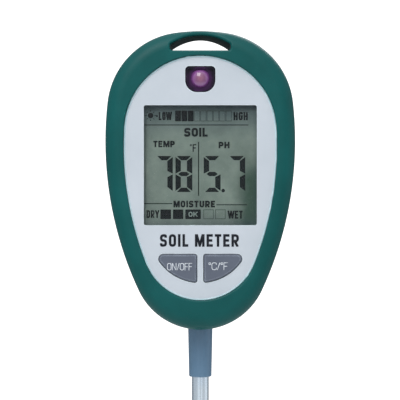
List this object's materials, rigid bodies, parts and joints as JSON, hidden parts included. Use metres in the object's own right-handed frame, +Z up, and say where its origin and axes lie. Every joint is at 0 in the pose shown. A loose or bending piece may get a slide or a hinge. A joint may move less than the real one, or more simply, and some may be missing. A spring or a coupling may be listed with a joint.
{
  "type": "soil moisture meter",
  "caption": "Egg-shaped hand-held soil meter with a display, light sensor and push buttons, a battery door behind and a long pointed metal probe.",
  "frame": {"origin": "on the probe's axis, where the probe leaves the lower rim of its collar", "axes": "+Z up along the probe to the head, the display faces -Y, +X to the right seen from the front"},
  "size_m": [0.0658, 0.036, 0.3207],
  "materials": {
    "green_case": "fine moulded texture, satin",
    "grey_plate": "smooth satin",
    "grey_button": "fine matt texture",
    "clear_lens": "polished clear acrylic",
    "purple_lens": "tinted, polished",
    "mauve_dome": "tinted, polished",
    "black_plastic": "satin",
    "white_rubber": "soft matt silicone",
    "carbon_rubber": "matt",
    "zebra_rubber": "layered silicone",
    "lcd_glass": "grey-green liquid crystal",
    "lcd_foil": "satin foil",
    "white_plastic": "satin",
    "circuit_board": "lacquered glass laminate",
    "tinned_wire": "bright tin",
    "screw_steel": "zinc plated",
    "chip_ceramic": "glazed",
    "capacitor_can": "satin",
    "battery_case": "printed metal jacket",
    "red_wire": "soft PVC",
    "black_wire": "soft PVC",
    "white_wire": "soft PVC",
    "foam": "closed cell foam",
    "grey_collar": "satin",
    "probe_metal": "polished nickel plate",
    "point_metal": "turned, dull",
    "thermistor_resin": "dipped resin"
  },
  "bodies": {
    "case": {"front_shell": "green_case", "rear_shell": "green_case", "face_plate": "grey_plate", "display_window": "clear_lens", "light_sensor_window": "purple_lens", "light_sensor_dome": "mauve_dome", "photodiode": "black_plastic", "processor_chip": "black_plastic", "amplifier_chip": "black_plastic", "battery_snap": "black_plastic", "tip_insulator": "black_plastic", "key_pad": "white_rubber", "power_key_dome": "white_rubber", "unit_key_dome": "white_rubber", "zebra_strips": "zebra_rubber", "lcd_front_glass": "lcd_glass", "lcd_rear_glass": "lcd_glass", "lcd_reflector": "lcd_foil", "lcd_frame": "white_plastic", "main_board": "circuit_board", "photodiode_legs": "tinned_wire", "crystal_can": "tinned_wire", "battery_terminals": "tinned_wire", "case_screws": "screw_steel", "board_screws": "screw_steel", "chip_resistors": "chip_ceramic", "capacitors": "capacitor_can", "battery": "battery_case", "battery_lead_red": "red_wire", "battery_lead_black": "black_wire", "thermistor_lead_a": "black_wire", "thermistor_lead_b": "black_wire", "probe_lead_tip": "white_wire", "probe_lead_tube": "white_wire", "probe_collar": "grey_collar", "probe_tube": "probe_metal", "tip_electrode": "point_metal", "thermistor": "thermistor_resin"},
    "power_button": {"power_button": "grey_button", "power_key_pill": "carbon_rubber"},
    "unit_button": {"unit_button": "grey_button", "unit_key_pill": "carbon_rubber"},
    "battery_door": {"battery_door": "green_case", "door_latch": "green_case", "door_foam": "foam"}
  },
  "joints": [
    {"name": "power_button_press", "type": "slide", "parent": "case", "child": "power_button", "axis": [0, 1, 0], "range_m": [0, 0.0008], "stiffness_N_per_m": 1500, "deforming": ["power_key_dome"]},
    {"name": "unit_button_press", "type": "slide", "parent": "case", "child": "unit_button", "axis": [0, 1, 0], "range_m": [0, 0.0008], "stiffness_N_per_m": 1500, "deforming": ["unit_key_dome"]},
    {"name": "battery_door_tilt", "type": "hinge", "parent": "case", "child": "battery_door", "pos_m": [0, 0.0205, 0.0339], "axis": [-1, 0, 0], "range_deg": [0, 75], "deforming": ["door_latch"]}
  ]
}
